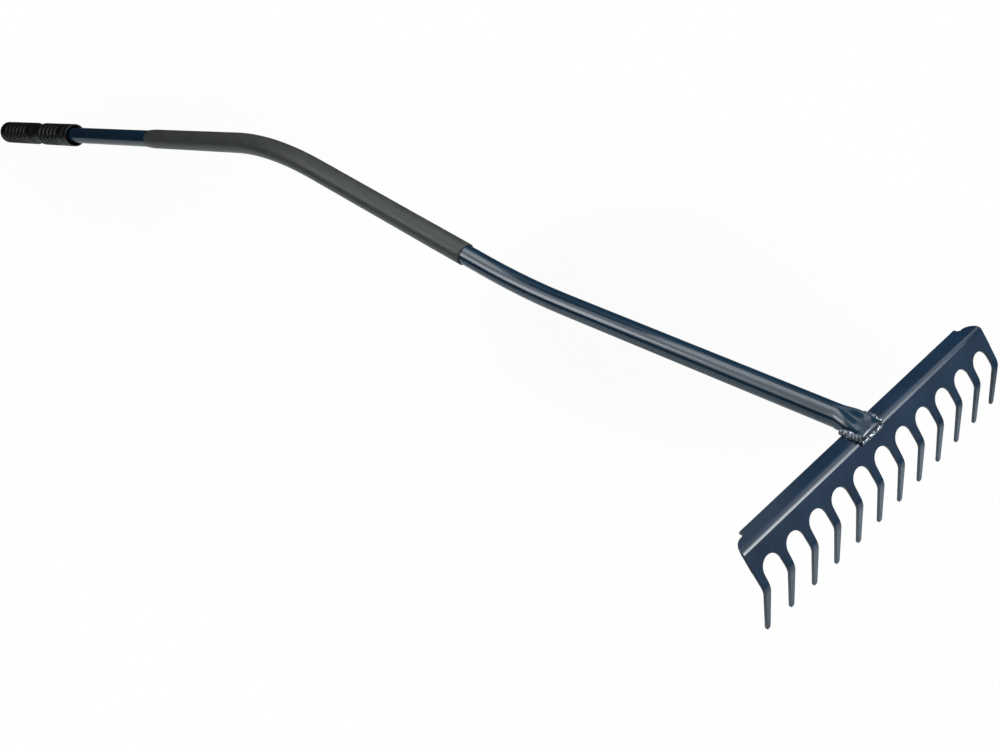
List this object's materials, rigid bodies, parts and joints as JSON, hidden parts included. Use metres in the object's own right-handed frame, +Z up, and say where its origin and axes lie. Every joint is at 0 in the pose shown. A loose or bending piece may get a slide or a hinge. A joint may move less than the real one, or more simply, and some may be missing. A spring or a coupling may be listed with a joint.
{
  "type": "rake",
  "caption": "Garden rake with a folded steel head of flat bent tines, welded to a bent tubular steel shaft with a foam sleeve and a ribbed rubber end grip.",
  "frame": {"origin": "on the ground, in the middle of the footprint of the rake at rest on its tine tips and grip end", "axes": "+X along the head towards the left weld, +Y from the head to the grip, +Z up from the ground"},
  "size_m": [0.3616, 1.5922, 0.1752],
  "materials": {
    "head_enamel": "gloss navy enamel",
    "shaft_enamel": "gloss navy enamel",
    "weld_enamel": "rough painted bead",
    "sleeve_foam": "matte closed foam",
    "grip_rubber": "satin, ribbed"
  },
  "bodies": {
    "root": {"rake_head": "head_enamel", "shaft_tube": "shaft_enamel", "left_weld": "weld_enamel", "right_weld": "weld_enamel", "front_weld": "weld_enamel", "shaft_sleeve": "sleeve_foam", "end_grip": "grip_rubber"}
  },
  "joints": []
}
